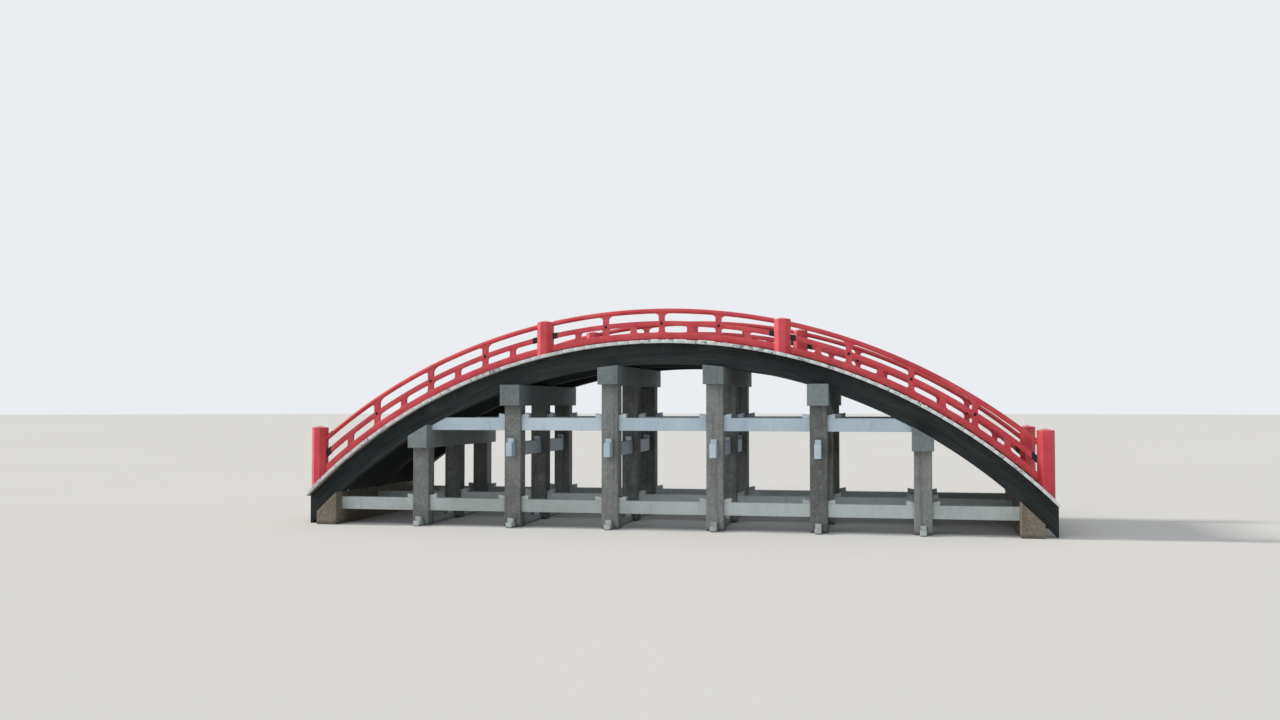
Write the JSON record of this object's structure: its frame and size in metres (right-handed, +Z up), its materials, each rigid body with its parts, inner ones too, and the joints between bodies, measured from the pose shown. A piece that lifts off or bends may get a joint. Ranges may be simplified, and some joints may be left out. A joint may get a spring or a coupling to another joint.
{
  "type": "arched timber moon bridge on stone piers",
  "caption": "Steeply arched timber footbridge with red railings, on rows of square stone posts tied by wedged stone beams, with steps on both slopes.",
  "frame": {"origin": "at the water line under the middle of the bridge: the centre of the box that bounds it, at its foot", "axes": "+X along the bridge, +Y across it towards the far railing, +Z up"},
  "size_m": [19.9, 6.07, 5.8048],
  "materials": {
    "post_stone": "weathered dark grey granite, damp at the foot",
    "cap_stone": "dressed grey granite",
    "sill_stone": "rough brownish stone",
    "tie_stone": "pale smooth dressed stone",
    "girder_timber": "dark tarred timber",
    "deck_boards": "weathered grey boards with pale painted ends",
    "step_boards": "worn weathered boards",
    "red_paint": "vermilion red paint on timber, satin",
    "black_metal": "black lacquered metal"
  },
  "bodies": {
    "root": {"abutment_sill_left": "sill_stone", "abutment_sill_right": "sill_stone", "base_rail_far": "red_paint", "base_rail_near": "red_paint", "bearing_blocks_far": "red_paint", "bearing_blocks_near": "red_paint", "cap_beam_1": "cap_stone", "cap_beam_2": "cap_stone", "cap_beam_3": "cap_stone", "cap_beam_4": "cap_stone", "cap_beam_5": "cap_stone", "cap_beam_6": "cap_stone", "deck_planking": "deck_boards", "girder_far": "girder_timber", "girder_middle": "girder_timber", "girder_near": "girder_timber", "handrail_far": "red_paint", "handrail_near": "red_paint", "lower_cross_ties": "tie_stone", "lower_ties_far": "tie_stone", "lower_ties_middle": "tie_stone", "lower_ties_near": "tie_stone", "main_posts_far": "red_paint", "main_posts_near": "red_paint", "mid_rail_far": "red_paint", "mid_rail_near": "red_paint", "pier_posts_1": "post_stone", "pier_posts_2": "post_stone", "pier_posts_3": "post_stone", "pier_posts_4": "post_stone", "pier_posts_5": "post_stone", "pier_posts_6": "post_stone", "rail_feet_far": "red_paint", "rail_feet_near": "red_paint", "rail_sleeves_far": "black_metal", "rail_sleeves_near": "black_metal", "steps_left": "step_boards", "steps_right": "step_boards", "tie_wedges": "tie_stone", "upper_cross_ties": "tie_stone", "upper_ties_far": "tie_stone", "upper_ties_middle": "tie_stone", "upper_ties_near": "tie_stone", "window_struts_far": "red_paint", "window_struts_near": "red_paint"}
  },
  "joints": []
}
